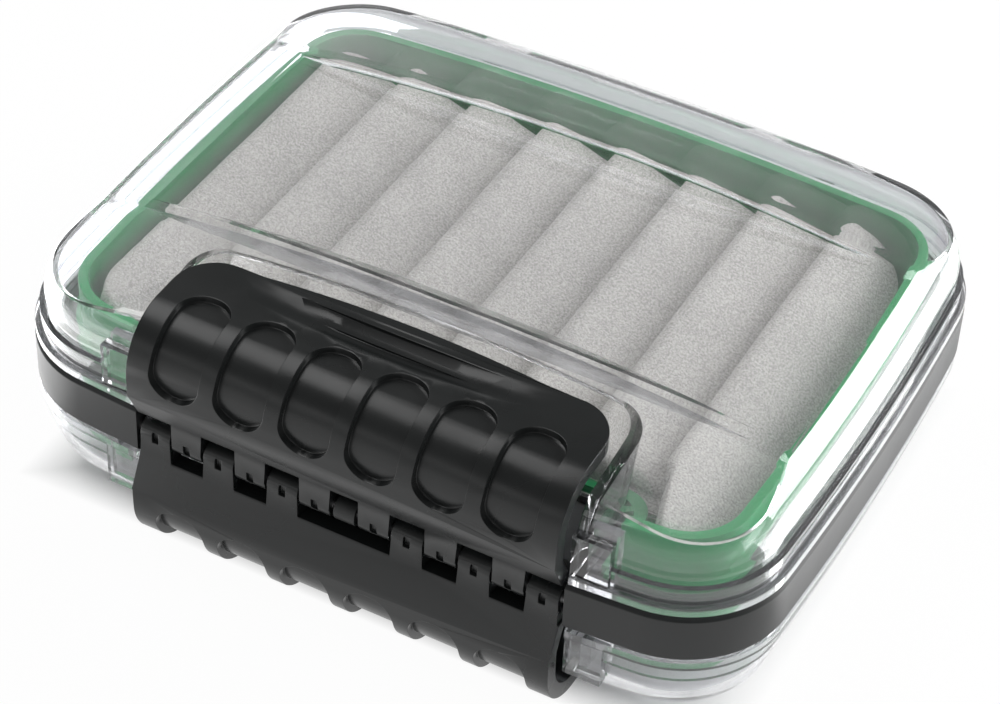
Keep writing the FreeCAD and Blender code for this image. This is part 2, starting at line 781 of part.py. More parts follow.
def along_x_at(edge, y_text, z_text, thick):
    """True for an edge along X that starts from the given place, moved inward."""
    box = edge.BoundBox
    long_enough = box.XLength > box.YLength + box.ZLength
    return (long_enough and near(box.YMin, "0 - " + y_text + " + " + thick)
            and near(box.ZMin, z_text + " - " + thick))


def is_tip_corner(edge):
    """True for the two upright edges at the ends of the tip."""
    box = edge.BoundBox
    at_end = near(abs(box.XMin), "latch_half") and near(box.XLength + box.YLength, "0")
    return at_end and near(box.YMin, "0 - tip_reach")


def make_lip(label):
    """The bowed lip in the middle of the tip."""
    piece = body(label + "_lip")
    plan = sketch_on(piece, label + "_lip_plan", "XY_Plane", "lip_under")
    half, reach, tip = size("lip_half"), size("lip_reach"), size("tip_reach")
    bow = tip - reach
    radius = (half ** 2 + bow ** 2) / (2 * bow)
    normal = FreeCAD.Vector(0, 0, 1)
    lean = math.asin(half / radius)
    circle = Part.Circle(FreeCAD.Vector(0, -reach - radius, 0), normal, radius)
    plan.addGeometry(Part.ArcOfCircle(circle, math.pi / 2 - lean, math.pi / 2 + lean), False)
    back = -tip - size("plate_thick") / 2
    places = [FreeCAD.Vector(-half, -tip, 0), FreeCAD.Vector(-half, back, 0),
              FreeCAD.Vector(half, back, 0), FreeCAD.Vector(half, -tip, 0)]
    for one, two in zip(places, places[1:]):
        plan.addGeometry(Part.LineSegment(one, two), False)
    for one, one_end, two, two_end in ((0, 2, 1, 1), (1, 2, 2, 1), (2, 2, 3, 1), (3, 2, 0, 1)):
        plan.addConstraint(Sketcher.Constraint("Coincident", one, one_end, two, two_end))
    pin_point(plan, 1, 1, "0 - lip_half", "0 - tip_reach")
    pin_point(plan, 1, 2, "0 - lip_half", "0 - tip_reach - plate_thick / 2")
    pin_point(plan, 2, 2, "lip_half", "0 - tip_reach - plate_thick / 2")
    pin_point(plan, 3, 2, "lip_half", "0 - tip_reach")
    bow_text = "(lip_half ^ 2 + (tip_reach - lip_reach) ^ 2) / (2 * (tip_reach - lip_reach))"
    set_radius(plan, 0, bow_text)
    pad(piece, plan, label + "_lip_pad", "tip_level - lip_under - seat_gap / 3")
    return piece


def make_pocket(label, middle):
    """The tool for one long pocket that runs over the bend of the plate."""
    piece = body(label)
    section = sketch_on(piece, label + "_section", "YZ_Plane", middle + " - pocket_half")
    add_polygon(section, [
        ("0 - plate_bulge - overrun", "pocket_low"),
        ("0 - plate_bulge + pocket_depth", "pocket_low"),
        ("0 - " + PLATE_FACE + " + pocket_depth", "plate_top - pocket_depth"),
        ("0 - pocket_reach", "tip_level - pocket_depth"),
        ("0 - pocket_reach", "tip_level + overrun"),
        ("0 - plate_bulge - overrun", "tip_level + overrun")])
    block = pad(piece, section, label + "_pad", "2 * pocket_half")
    bend = round_edges(piece, block, label + "_bend", "plate_round - pocket_depth",
                       is_bend)
    round_edges(piece, bend, label + "_ends", "pocket_round", is_pocket_end)
    return piece


def is_bend(edge):
    """True for the edge where the floor of a pocket turns over the bend of the plate."""
    box = edge.BoundBox
    across = box.XLength > box.YLength + box.ZLength
    return (across and near(box.YMin, "0 - " + PLATE_FACE + " + pocket_depth")
            and near(box.ZMin, "plate_top - pocket_depth"))


def is_pocket_end(edge):
    """True for the four corner edges at the two ends of a pocket."""
    box = edge.BoundBox
    if not near(box.XLength, "0"):
        return False
    low_end = near(box.ZLength, "0") and near(box.ZMin, "pocket_low") and not near(box.YLength, "0")
    top_end = near(box.YLength, "0") and near(box.YMin, "0 - pocket_reach")
    return low_end or (top_end and not near(box.ZLength, "0"))


def tab_places(first):
    """Middles of every second knuckle on both sides, from the given number on."""
    places = []
    for number in range(first, 6, 2):
        middle = "(knuckle_first + " + str(number) + " * knuckle_pitch)"
        places.append(middle)
        places.append("(0 - " + middle + ")")
    return places


def placed(piece):
    """Moves a finished piece from the middle level to its place on the ground."""
    piece.setExpression("Placement.Base.y", bound("0 - centre_shift"))
    piece.setExpression("Placement.Base.z", bound("mid_level"))


def mirrored(label, source):
    """The lower twin of a piece, mirrored in the middle level."""
    twin = doc.addObject("Part::Mirroring", label)
    twin.Label = label
    twin.Source = source
    twin.Normal = FreeCAD.Vector(0, 0, 1)
    twin.setExpression("Base.z", bound("mid_level"))
    return twin


def make_all():
    lid_body = make_lid_body()
    inner = ("knuckle_two", "knuckle_three - knuckle_gap")
    outer = ("knuckle_three", "knuckle_four - knuckle_gap")
    upper_lid = make_lid("upper_lid", lid_body, [inner, opposite(outer)])
    lower_lid_form = make_lid("lower_lid_form", lid_body, [outer, opposite(inner)])
    foam = make_foam()
    glue = make_glue()
    seal = ring("upper_seal", "seal_inset", "seal_inset + seal_width", "band_half - seal_depth",
                "band_half + seat_gap", "seal_step", "seal_step_width")
    upper_latch = make_latch("upper_latch", tab_places(0))
    lower_latch_form = make_latch("lower_latch_form", tab_places(1))
    made = [make_frame(), make_tray(), foam, glue, seal, upper_lid, upper_latch]
    made.append(rod("latch_pin", "0 - latch_line", "latch_pin_radius",
                    "0 - bore_end + pin_end_gap", "bore_end - pin_end_gap"))
    ends = ("knuckle_one + pin_end_gap", "knuckle_end - pin_end_gap")
    for side, (low, high) in (("right", ends), ("left", opposite(ends))):
        made.append(rod(side + "_hinge_pin", "hinge_line", "hinge_pin_radius", low, high))
    for piece in made + [lower_lid_form, lower_latch_form]:
        placed(piece)
    for label, source in (("lower_lid", lower_lid_form), ("lower_foam", foam),
                          ("lower_adhesive", glue), ("lower_seal", seal),
                          ("lower_latch", lower_latch_form)):
        made.append(mirrored(label, source))
    doc.recompute()
    return made


def opposite(stretch):
    """The same stretch on the other side of the middle."""
    low, high = stretch
    return "0 - (" + high + ")", "0 - (" + low + ")"


def check_and_export(made):
    for feature in doc.Objects:
        if "Invalid" in feature.State or "Error" in feature.State:
            raise RuntimeError("failed to build " + feature.Name)
        if feature.TypeId.startswith("PartDesign::") and feature.Shape.isNull():
            raise RuntimeError("empty shape in " + feature.Name)
    for piece in made:
        shape = piece.Shape
        if shape.isNull() or not shape.isValid() or len(shape.Solids) != 1:
            raise RuntimeError("bad solid for " + piece.Label)
        shape.exportStep("parts/" + piece.Label + ".step")
        box = shape.BoundBox
        print(piece.Label, round(shape.Volume), [round(value, 2) for value in (
            box.XMin, box.XMax, box.YMin, box.YMax, box.ZMin, box.ZMax)])


if __name__ == "__main__":
    check_and_export(make_all())
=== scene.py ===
"""Dresses a double-sided fly box: foam mats, clear lids, latches, tray and a plain studio."""
import math

import bmesh
import bpy
from bpy.props import FloatProperty, FloatVectorProperty, IntProperty, PointerProperty
from mathutils import Matrix, Vector, noise


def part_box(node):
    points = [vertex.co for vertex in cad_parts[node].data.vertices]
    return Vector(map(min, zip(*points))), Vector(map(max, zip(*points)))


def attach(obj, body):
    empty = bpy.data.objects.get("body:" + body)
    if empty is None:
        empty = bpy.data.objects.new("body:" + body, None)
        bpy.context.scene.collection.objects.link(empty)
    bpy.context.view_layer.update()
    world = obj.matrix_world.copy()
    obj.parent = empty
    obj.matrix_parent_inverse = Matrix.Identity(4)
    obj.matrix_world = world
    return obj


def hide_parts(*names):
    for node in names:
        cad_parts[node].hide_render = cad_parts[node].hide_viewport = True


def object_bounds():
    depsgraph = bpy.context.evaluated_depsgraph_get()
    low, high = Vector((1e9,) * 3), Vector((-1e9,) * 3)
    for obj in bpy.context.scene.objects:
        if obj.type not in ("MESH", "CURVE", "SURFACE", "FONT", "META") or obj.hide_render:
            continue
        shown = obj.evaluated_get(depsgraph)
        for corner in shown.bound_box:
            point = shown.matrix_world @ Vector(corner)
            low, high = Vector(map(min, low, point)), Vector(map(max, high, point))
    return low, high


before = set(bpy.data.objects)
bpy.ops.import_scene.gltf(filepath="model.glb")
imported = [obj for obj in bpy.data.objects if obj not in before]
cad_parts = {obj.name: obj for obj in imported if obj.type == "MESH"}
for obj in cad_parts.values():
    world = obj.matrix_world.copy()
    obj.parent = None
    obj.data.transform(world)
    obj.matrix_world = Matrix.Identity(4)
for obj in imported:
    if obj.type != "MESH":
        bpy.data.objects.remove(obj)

bl_info = {
    "name": "Fly box looks",
    "version": (1, 0, 0),
    "blender": (4, 5, 0),
    "location": "3D View > Sidebar > Fly box",
    "description": "Foam mats, clear lids, latches and studio for a double-sided fly box",
    "category": "Object",
}

MM = 0.001
WHITE = (1.0, 1.0, 1.0, 1.0)
CAD_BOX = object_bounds()
MIDDLE = 0.5 * (CAD_BOX[0][2] + CAD_BOX[1][2])


class Signal:
    """One shader socket on which Python sums and products add Math nodes."""

    def __init__(self, finish, socket):
        self.finish = finish
        self.socket = socket

    def maths(self, operation, *values):
        inputs = {number: value for number, value in enumerate(values)}
        return self.finish.node("ShaderNodeMath", {"operation": operation}, inputs)

    def __add__(self, other):
        return self.maths("ADD", self, other)

    def __sub__(self, other):
        return self.maths("SUBTRACT", self, other)

    def __rsub__(self, other):
        return self.maths("SUBTRACT", other, self)

    def __mul__(self, other):
        return self.maths("MULTIPLY", self, other)

    def __pow__(self, other):
        return self.maths("POWER", self, other)

    def between(self, low, high):
        """The value mapped from the stretch low..high to 0..1, clamped."""
        return self.finish.node(
            "ShaderNodeMapRange", {"clamp": True},
            {"Value": self, "From Min": low, "From Max": high, "To Min": 0.0, "To Max": 1.0})


class Finish:
    """A material, or the world round the box, made node by node."""

    def __init__(self, name, world=False):
        self.material = (bpy.data.worlds if world else bpy.data.materials).new(name)
        self.material.use_nodes = True
        self.tree = self.material.node_tree
        self.tree.nodes.clear()
        kind = "World" if world else "Material"
        self.output = self.tree.nodes.new("ShaderNodeOutput" + kind)

    def node(self, kind, settings=None, inputs=None, output=0):
        """Adds a node, sets it up, fills its sockets and returns one output as a Signal."""
        made = self.tree.nodes.new(kind)
        for name, value in (settings or {}).items():
            setattr(made, name, value)
        for name, value in (inputs or {}).items():
            socket = made.inputs[name]
            if isinstance(value, Signal):
                self.tree.links.new(value.socket, socket)
            else:
                socket.default_value = value
        return Signal(self, made.outputs[output])

    def place(self):
        """The point on the object, in metres."""
        return self.node("ShaderNodeTexCoord", output="Object")

    def grain(self, scale, detail=2.0, roughness=0.5, warp=0.0):
        return self.node(
            "ShaderNodeTexNoise", None,
            {"Vector": self.place(), "Scale": scale, "Detail": detail,
             "Roughness": roughness, "Distortion": warp})

    def cells(self, scale):
        return self.node("ShaderNodeTexVoronoi", None, {"Vector": self.place(), "Scale": scale})

    def tint(self, mask, one, two):
        """A colour between two colours, by a mask."""
        return self.node(
            "ShaderNodeMix", {"data_type": "RGBA"},
            {"Factor": mask, "A": one, "B": two}, output="Result")

    def bump(self, height, strength, distance):
        return self.node(
            "ShaderNodeBump", None, {"Height": height, "Strength": strength, "Distance": distance})

    def surface(self, **values):
        """A Principled surface whose sockets are named in plain words."""
        inputs = {name.replace("_", " "): value for name, value in values.items()}
        return self.node("ShaderNodeBsdfPrincipled", None, inputs)

    def done(self, shader):
        self.tree.links.new(shader.socket, self.output.inputs["Surface"])
        return self.material


class FlyBoxSettings(bpy.types.PropertyGroup):
    """What a user would change on the fly box."""

    rows: IntProperty(name="Foam rows", description="Overlapping rows on each mat", default=8, min=2)
    nose_round: FloatProperty(
        name="Nose round", description="Radius of the nose of a foam row", default=1.1 * MM,
        subtype="DISTANCE", unit="LENGTH")
    end_round: FloatProperty(
        name="End round", description="Radius of the ends of a foam row", default=1.8 * MM,
        subtype="DISTANCE", unit="LENGTH")
    tongue_round: FloatProperty(
        name="Tongue round", description="Radius of the front and back corners of a row",
        default=2.6 * MM, subtype="DISTANCE", unit="LENGTH")
    foam_sway: FloatProperty(
        name="Foam sway", description="How far the cut foam strays from true", default=0.12 * MM,
        subtype="DISTANCE", unit="LENGTH")
    edge_width: FloatProperty(
        name="Edge width", description="Width of the softened edges of moulded pieces",
        default=0.14 * MM, subtype="DISTANCE", unit="LENGTH")
    foam_colour: FloatVectorProperty(
        name="Foam", description="Colour of the foam", subtype="COLOR", size=3,
        default=(0.43, 0.416, 0.383))
    tray_colour: FloatVectorProperty(
        name="Tray", description="Colour of the tray", subtype="COLOR", size=3,
        default=(0.004, 0.195, 0.055))
    black_colour: FloatVectorProperty(
        name="Band and latches", description="Colour of the band and the latches",
        subtype="COLOR", size=3, default=(0.010, 0.0112, 0.0112))
    clear_colour: FloatVectorProperty(
        name="Lids", description="Tint of the clear lids", subtype="COLOR", size=3,
        default=(0.955, 0.96, 0.985))
    through_colour: FloatVectorProperty(
        name="Through lids", description="Tint of what is seen straight through a lid",
        subtype="COLOR", size=3, default=(0.945, 0.95, 0.962))
    key_power: FloatProperty(
        name="Side light", description="Power of the large light behind the right end", default=5.2,
        subtype="POWER", unit="POWER")
    sky_level: FloatProperty(
        name="Sky level", description="Strength of the soft light from all round", default=0.5, min=0.0)
    front_power: FloatProperty(
        name="Front light", description="Power of the low strip light in front", default=0.12,
        subtype="POWER", unit="POWER")
    card_power: FloatProperty(
        name="Side cards", description="Power of the bright cards beside both ends", default=0.35,
        subtype="POWER", unit="POWER")
    top_power: FloatProperty(
        name="Top light", description="Power of the light above the box", default=1.2,
        subtype="POWER", unit="POWER")


def rgba(colour, gain=1.0):
    return tuple(min(gain * value, 1.0) for value in colour) + (1.0,)


# Foam mats
# Heights are shares of the height of a mat, and widths are shares of the width of one row
VALLEY_SHARE, LIP_SHARE, SHELF_SHARE = 0.53, 0.376, 0.8
UNDER_SHARE, SLOPE_SHARE, SLOPE_LEVEL_SHARE = 0.134, 0.55, 0.56
MAT_SKIRT, MAT_STEP, MAT_CORNER, MAT_FOOT = 1.5 * MM, 0.9 * MM, 8 * MM, 0.2 * MM
MAT_NOTCH, MAT_NOTCH_LEAN, MAT_NOTCH_DEPTH = 42.3 * MM, 3 * MM, 10.6 * MM
CORNER_POINTS, END_STEPS, MAT_STEPS = 6, 4, 44
TONGUE_SHARE = 0.8
SWAY_HEIGHT, SWAY_ALONG = (90, 70, 200), (60, 45)


def ridge_section(settings, box):
    """The closed section of a mat in X and height, from the left foot round over the rows."""
    low, high = box
    half = 0.5 * (high.x - low.x)
    tall = high.z - low.z
    pitch = 2 * half / settings.rows
    valley, lip, under = VALLEY_SHARE * tall, LIP_SHARE * tall, UNDER_SHARE * pitch
    nose = settings.nose_round
    shelf = SHELF_SHARE * valley
    slope_level = valley + SLOPE_LEVEL_SHARE * (tall - valley)
    foot = half + MAT_SKIRT
    corners = [(-foot, 0.0, 0.0), (-foot, shelf, 0.6 * nose)]
    for row in range(settings.rows):
        left = -half + row * pitch
        corners.append((left + under, valley if row else shelf, 0.3 * nose))
        corners.append((left, valley + 0.33 * lip, 0.5 * nose))
        corners.append((left, tall - 0.25 * lip, 0.9 * nose))
        corners.append((left + 0.5 * lip, tall, nose))
        corners.append((left + SLOPE_SHARE * pitch, slope_level, 2 * nose))
    corners.append((half, shelf, 0.3 * nose))
    corners.append((foot, shelf, 0.6 * nose))
    corners.append((foot, 0.0, 0.0))
    return fine_line(rounded_line(corners), MAT_STEP)


def rounded_line(corners):
    """Points along a polygon whose corners are turned by the given reach."""
    points = []
    count = len(corners)
    for number, (x, z, reach) in enumerate(corners):
        here = Vector((x, z))
        if reach == 0.0:
            points.append(here)
            continue
        before = Vector(corners[number - 1][:2]) - here
        after = Vector(corners[(number + 1) % count][:2]) - here
        one = here + before.normalized() * min(reach, 0.45 * before.length)
        two = here + after.normalized() * min(reach, 0.45 * after.length)
        for step in range(CORNER_POINTS):
            part = step / (CORNER_POINTS - 1)
            points.append((1 - part) ** 2 * one + 2 * part * (1 - part) * here + part ** 2 * two)
    return points


def fine_line(points, longest):
    """The same closed line with no step longer than asked."""
    made = []
    for number, here in enumerate(points):
        after = points[(number + 1) % len(points)]
        pieces = max(1, math.ceil((after - here).length / longest))
        for step in range(pieces):
            made.append(here.lerp(after, step / pieces))
    return made


def outward(points):
    """Unit normals of a closed line that runs clockwise over the top."""
    normals = []
    for number in range(len(points)):
        along = points[(number + 1) % len(points)] - points[number - 1]
        normals.append(Vector((-along.y, along.x)).normalized() if along.length > 0 else Vector((0, 0)))
    return normals


def mat_ends(settings, box, x):
    """Front and back of a mat at a place along X, with the notch and round corners."""
    low, high = box
    half = 0.5 * (high.x - low.x)
    front, back = low.y, high.y
    side = abs(x)
    past = side - half + MAT_CORNER
    if past > 0:
        cut = MAT_CORNER - math.sqrt(max(MAT_CORNER ** 2 - past ** 2, 0.0))
        front += cut
        back -= cut
    lean_left = MAT_NOTCH + MAT_NOTCH_LEAN - side
    if side < MAT_NOTCH:
        front = low.y + MAT_NOTCH_DEPTH
    elif lean_left > 0:
        front = low.y + MAT_NOTCH_DEPTH * lean_left / MAT_NOTCH_LEAN
    pitch = 2 * half / settings.rows
    into_row = (x + half) % pitch
    reach = settings.tongue_round
    if into_row < reach:
        cut = reach - math.sqrt(reach ** 2 - (reach - into_row) ** 2)
        front += TONGUE_SHARE * cut
        back -= TONGUE_SHARE * cut
    return front, back


def mat_stations():
    """Rings along a mat: reach past the start of the end's round, inset and share of the length."""
    turns = [math.radians(90 * step / END_STEPS) for step in range(END_STEPS + 1)]
    ends = [(1 - math.cos(turn), 1 - math.sin(turn)) for turn in turns]
    rings = [(reach, inset, 0.0) for reach, inset in ends]
    rings += [(None, 0.0, step / MAT_STEPS) for step in range(1, MAT_STEPS)]
    return rings + [(-reach, inset, 1.0) for reach, inset in reversed(ends)]


def mesh_object(name, mesh):
    """Puts a finished bmesh into the scene as an object."""
    data = bpy.data.meshes.new(name)
    mesh.to_mesh(data)
    mesh.free()
    piece = bpy.data.objects.new(name, data)
    bpy.context.scene.collection.objects.link(piece)
    return piece


def join_rings(mesh, rings):
    """Adds faces between rings of the same count, and one face over each end."""
    for one, two in zip(rings, rings[1:]):
        for number in range(len(one)):
            after = (number + 1) % len(one)
            mesh.faces.new((one[number], one[after], two[after], two[number]))
    mesh.faces.new(list(reversed(rings[0])))
    mesh.faces.new(rings[-1])
    bmesh.ops.recalc_face_normals(mesh, faces=mesh.faces)


def make_mat(settings, name, node, upward):
    """Builds a foam mat as one closed skin with rounded rows and ends."""
    box = [Vector(corner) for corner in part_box(node)]
    low, high = box
    section = ridge_section(settings, box)
    normals = outward(section)
    ends = [mat_ends(settings, box, point.x) for point in section]
    middle_x = 0.5 * (low.x + high.x)
    tall = high.z - low.z
    widest = 0.5 * (high.x - low.x) + MAT_SKIRT
    round_end = settings.end_round
    mesh = bmesh.new()
    rings = []
    for reach, inset, share in mat_stations():
        ring = []
        for point, normal, (front, back) in zip(section, normals, ends):
            start, stop = front + round_end, back - round_end
            y = start + (stop - start) * share
            if reach is not None:
                y = (back if share else front) + reach * round_end
            loose = 1.0 if point.y > MAT_FOOT else 0.0
            x, height = point - normal * round_end * inset * loose
            sway = Vector((x * SWAY_HEIGHT[0], y * SWAY_HEIGHT[1], height * SWAY_HEIGHT[2] + 7))
            height += noise.noise(sway) * settings.foam_sway * loose
            sway = Vector((x * SWAY_ALONG[0], y * SWAY_ALONG[1], 31.0))
            x += noise.noise(sway) * settings.foam_sway * loose
            height = min(max(height, 0.0), tall)
            x = min(max(x, -widest), widest)
            z = low.z + height if upward else high.z - height
            ring.append(mesh.verts.new((middle_x + x, y, z)))
        rings.append(ring)
    join_rings(mesh, rings)
    for face in mesh.faces:
        face.smooth = len(face.verts) == 4
    return mesh_object(name, mesh)


def foam_finish(settings):
    """Closed-cell foam, finely speckled, a little darker in its pores: the same noise dents the surface
    and darkens its colour, so the dark specks are random tone and partly painted shade in the dents.
    """
    finish = Finish("foam_grey")
    speckle_and_pore_shade = finish.grain(2900, 2.0, 0.6)
    cloud = finish.grain(120, 2.0)
    pores = finish.cells(1900)
    # Colour mask: mostly the fine speckle that also dents the surface, so it is random tone and partly
    # painted shade in the dents, with a little broad cloud
    mask = speckle_and_pore_shade.between(0.36, 0.64) * 0.85 + cloud.between(0.3, 0.7) * 0.15
    base = settings.foam_colour
    colour = finish.tint(mask, rgba(base, 0.6), rgba(base, 1.25))
    dents = pores.between(0.0, 0.5) * 0.5 + speckle_and_pore_shade * 0.5
    return finish.done(finish.surface(
        Base_Color=colour, Roughness=0.95, Specular_IOR_Level=0.25, Sheen_Weight=0.15,
        Normal=finish.bump(dents, 0.8, 0.0002)))


class FLYBOX_OT_foam_mats(bpy.types.Operator):
    """Builds both foam mats in place of the plain ones"""

    bl_idname = "fly_box.foam_mats"
    bl_label = "Foam mats"

    def execute(self, context):
        settings = context.scene.fly_box
        finish = foam_finish(settings)
        for name, node, upward in (
                ("upper_mat", "upper_foam", True), ("lower_mat", "lower_foam", False)):
            mat = make_mat(settings, name, node, upward)
            mat.data.materials.append(finish)
            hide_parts(node)
            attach(mat, "frame")
        return {"FINISHED"}


# Clear lids
# Sizes of a lid in millimetres, heights counted from the middle of the band
HALF_LENGTH, HALF_WIDTH, CORNER, BOW = 65.0, 51.7, 17.8, 615.0
BACK_SHIFT = -0.667
FOOT, FLANGE_TOP, TIER_TOP = 4.87, 6.3, 9.4
SHOULDER, SHOULDER_LEVEL, ROOF_TURN = 8.4, 11.6, 60
REST, LAND, PANEL, PANEL_HALF = 23.25, 23.42, 19.8, 22.4
CROWN_RADIUS = 375.0
STRIPS = ((24.8, 23.42), (34.0, 21.9), (48.0, 19.9), (56.0, 19.2))
NOTCH_HALF, NOTCH_FOOT, NOTCH_SLOPE, NOTCH_ROUND = 37.0, 34.4, 0.355, 5.0
WALL, RIM_WALL, FOOT_INSET, TIER_INSET, LEVEL_GAP = 1.5, 1.9, 0.15, 1.0, 0.01
WALL_LEVEL = 4.57
LEDGE = ((-24, -34.5, 8.2), (24, -32.4, 9.6))
LUG_NEAR, LUG_FAR, LUG_FRONT, LUG_BACK, LUG_TOP = 36.9, 43, -49.9, -45, 14
ARMS, ARM_FRONT, ARM_BACK, ARM_FOOT = ((17.3, 23.3), (-29.6, -23.6)), 50.2, 51.95, 0.3
HINGE_LINE, BARREL_RADIUS, BORE_RADIUS = 52.4, 2.2, 0.86
# Tools reach past the lid, and curves are cut into steps
PAST_SIDE, PAST_TOP, PAST_CROWN, PAST_FOOT, PAST_BORE = 70, 8, 6, 8, 2
CROWN_REACH, CROWN_STEP, HOLLOW_DROP = 56, 2, 4
LONG_STEPS, SHORT_STEPS, CORNER_STEPS, OUTLINE_PASSES = 44, 32, 26, 40
SHOULDER_STEPS, NOTCH_STEPS, ROD_STEPS = 10, 12, 40
ROOF_SHARES = (0.25, 0.5, 0.75, 1.0)
# Corners closer than MEET are one, and loose faces fewer than SLIVER_FACES are slivers
MEET, SLIVER_FACES = 0.002 * MM, 12
LID_SHARP = 32


def outline(inset):
    """Points of the box's outline moved inward, the same count at every inset."""
    x, y = HALF_LENGTH - CORNER, HALF_WIDTH - CORNER
    for _ in range(OUTLINE_PASSES):
        x = math.sqrt((BOW - CORNER) ** 2 - y ** 2) - (BOW - HALF_LENGTH)
        y = math.sqrt((BOW - CORNER) ** 2 - x ** 2) - (BOW - HALF_WIDTH)
    lean = math.atan2(x, y + BOW - HALF_WIDTH)
    rise = math.atan2(y, x + BOW - HALF_LENGTH)
    quarter = math.pi / 2
    arcs = (
        (0, HALF_WIDTH - BOW, BOW, quarter - lean, quarter + lean, LONG_STEPS),
        (-x, y, CORNER, quarter + lean, 2 * quarter - rise, CORNER_STEPS),
        (BOW - HALF_LENGTH, 0, BOW, 2 * quarter - rise, 2 * quarter + rise, SHORT_STEPS),
        (-x, -y, CORNER, 2 * quarter + rise, 3 * quarter - lean, CORNER_STEPS),
        (0, BOW - HALF_WIDTH, BOW, 3 * quarter - lean, 3 * quarter + lean, LONG_STEPS),
        (x, -y, CORNER, 3 * quarter + lean, 4 * quarter - rise, CORNER_STEPS),
        (HALF_LENGTH - BOW, 0, BOW, 4 * quarter - rise, 4 * quarter + rise, SHORT_STEPS),
        (x, y, CORNER, rise, quarter - lean, CORNER_STEPS))
    points = []
    for middle_x, middle_y, radius, start, stop, steps in arcs:
        for step in range(steps):
            turn = start + (stop - start) * step / steps
            reach = radius - inset
            points.append((middle_x + reach * math.cos(turn), middle_y + reach * math.sin(turn)))
    return points


def stacked(name, rings):
    """A closed solid from rings of points, each a list of x, y, z in millimetres."""
    mesh = bmesh.new()
    join_rings(mesh, [
        [mesh.verts.new((x * MM, (y + BACK_SHIFT) * MM, z * MM + MIDDLE)) for x, y, z in ring]
        for ring in rings])
    return mesh_object(name, mesh)


def level_ring(points, z):
    return [(x, y, z) for x, y in points]


def lid_block(thin):
    """The lid before its panel and notch are cut: foot, tier, wall, shoulder and roof."""
    wall = RIM_WALL + thin
    if thin:
        levels = [(wall, FOOT - HOLLOW_DROP)]
    else:
        levels = [(FOOT_INSET, FOOT), (FOOT_INSET, FLANGE_TOP), (TIER_INSET, FLANGE_TOP + LEVEL_GAP),
                  (TIER_INSET, TIER_TOP), (wall, TIER_TOP + LEVEL_GAP)]
    radius = SHOULDER - thin
    for step in range(SHOULDER_STEPS + 1):
        turn = math.radians(ROOF_TURN * step / SHOULDER_STEPS)
        levels.append((wall + radius * (1 - math.cos(turn)), SHOULDER_LEVEL + radius * math.sin(turn)))
    slope = math.tan(math.radians(90 - ROOF_TURN))
    inset, z = levels[-1]
    roof = REST - thin
    for share in ROOF_SHARES:
        levels.append((inset + share * (roof - z) / slope, z + share * (roof - z)))
    return stacked("lid_block", [level_ring(outline(inset), z) for inset, z in levels])


def crown_level(x, y, thin):
    """Height of the crowned strips over a place."""
    side = abs(y)
    level = STRIPS[0][1]
    for (near, near_level), (far, far_level) in zip(STRIPS, STRIPS[1:]):
        if side > near:
            level = near_level + (far_level - near_level) * (side - near) / (far - near)
    depth = LAND - CROWN_RADIUS
    return depth + math.sqrt((level - thin - depth) ** 2 - x ** 2)


def crown_tool(thin):
    """What lies above the crowned strips."""
    places = {float(y) for y in range(-CROWN_REACH, CROWN_REACH + 1, CROWN_STEP)}
    places |= {side * strip[0] for strip in STRIPS[:3] for side in (-1, 1)}
    places = sorted(places)
    top = REST + PAST_CROWN
    rings = []
    for x in range(-PAST_SIDE, PAST_SIDE + 1, CROWN_STEP):
        low = [(x, y, crown_level(x, y, thin)) for y in places]
        rings.append(low + [(x, places[-1], top), (x, places[0], top)])
    return stacked("crown_tool", rings)


def block_piece(name, low, high):
    corners = ((low[0], low[1]), (high[0], low[1]), (high[0], high[1]), (low[0], high[1]))
    return stacked(name, [level_ring(corners, low[2]), level_ring(corners, high[2])])


def panel_tool(thin):
    half = PANEL_HALF + thin
    return block_piece(
        "panel_tool", (-PAST_SIDE, -half, PANEL - thin), (PAST_SIDE, half, REST + PAST_TOP))


def notch_tool(thin):
    """The space in front of the leaning wall, with round inner corners."""
    half = NOTCH_HALF + thin
    rings = []
    for z in (FOOT - PAST_FOOT, REST + PAST_TOP):
        wall = -NOTCH_FOOT + thin + (z - WALL_LEVEL) * NOTCH_SLOPE
        ring = [(-half, -PAST_SIDE), (half, -PAST_SIDE)]
        for side in (1, -1):
            for step in range(NOTCH_STEPS + 1)[::side]:
                turn = math.radians(90 * step / NOTCH_STEPS)
                ring.append((side * (half - NOTCH_ROUND + NOTCH_ROUND * math.cos(turn)),
                             wall - NOTCH_ROUND + NOTCH_ROUND * math.sin(turn)))
        rings.append(level_ring(ring, z))
    return stacked("notch_tool", rings)


def rod_piece(name, radius, y, start, stop):
    """A round bar along X on the middle level."""
    turns = [math.tau * step / ROD_STEPS for step in range(ROD_STEPS)]
    circle = [(y + radius * math.cos(turn), radius * math.sin(turn)) for turn in turns]
    return stacked(name, [[(x, *point) for point in circle] for x in (start, stop)])


def carved(piece, tools, operation="DIFFERENCE"):
    """Cuts tools from a piece, or adds them to it, and drops the tools."""
    for tool in tools:
        step = piece.modifiers.new("carve", "BOOLEAN")
        step.operation = operation
        step.solver = "EXACT"
        step.object = tool
    graph = bpy.context.evaluated_depsgraph_get()
    data = bpy.data.meshes.new_from_object(piece.evaluated_get(graph))
    piece.modifiers.clear()
    piece.data = data
    for tool in tools:
        bpy.data.objects.remove(tool)
    return piece


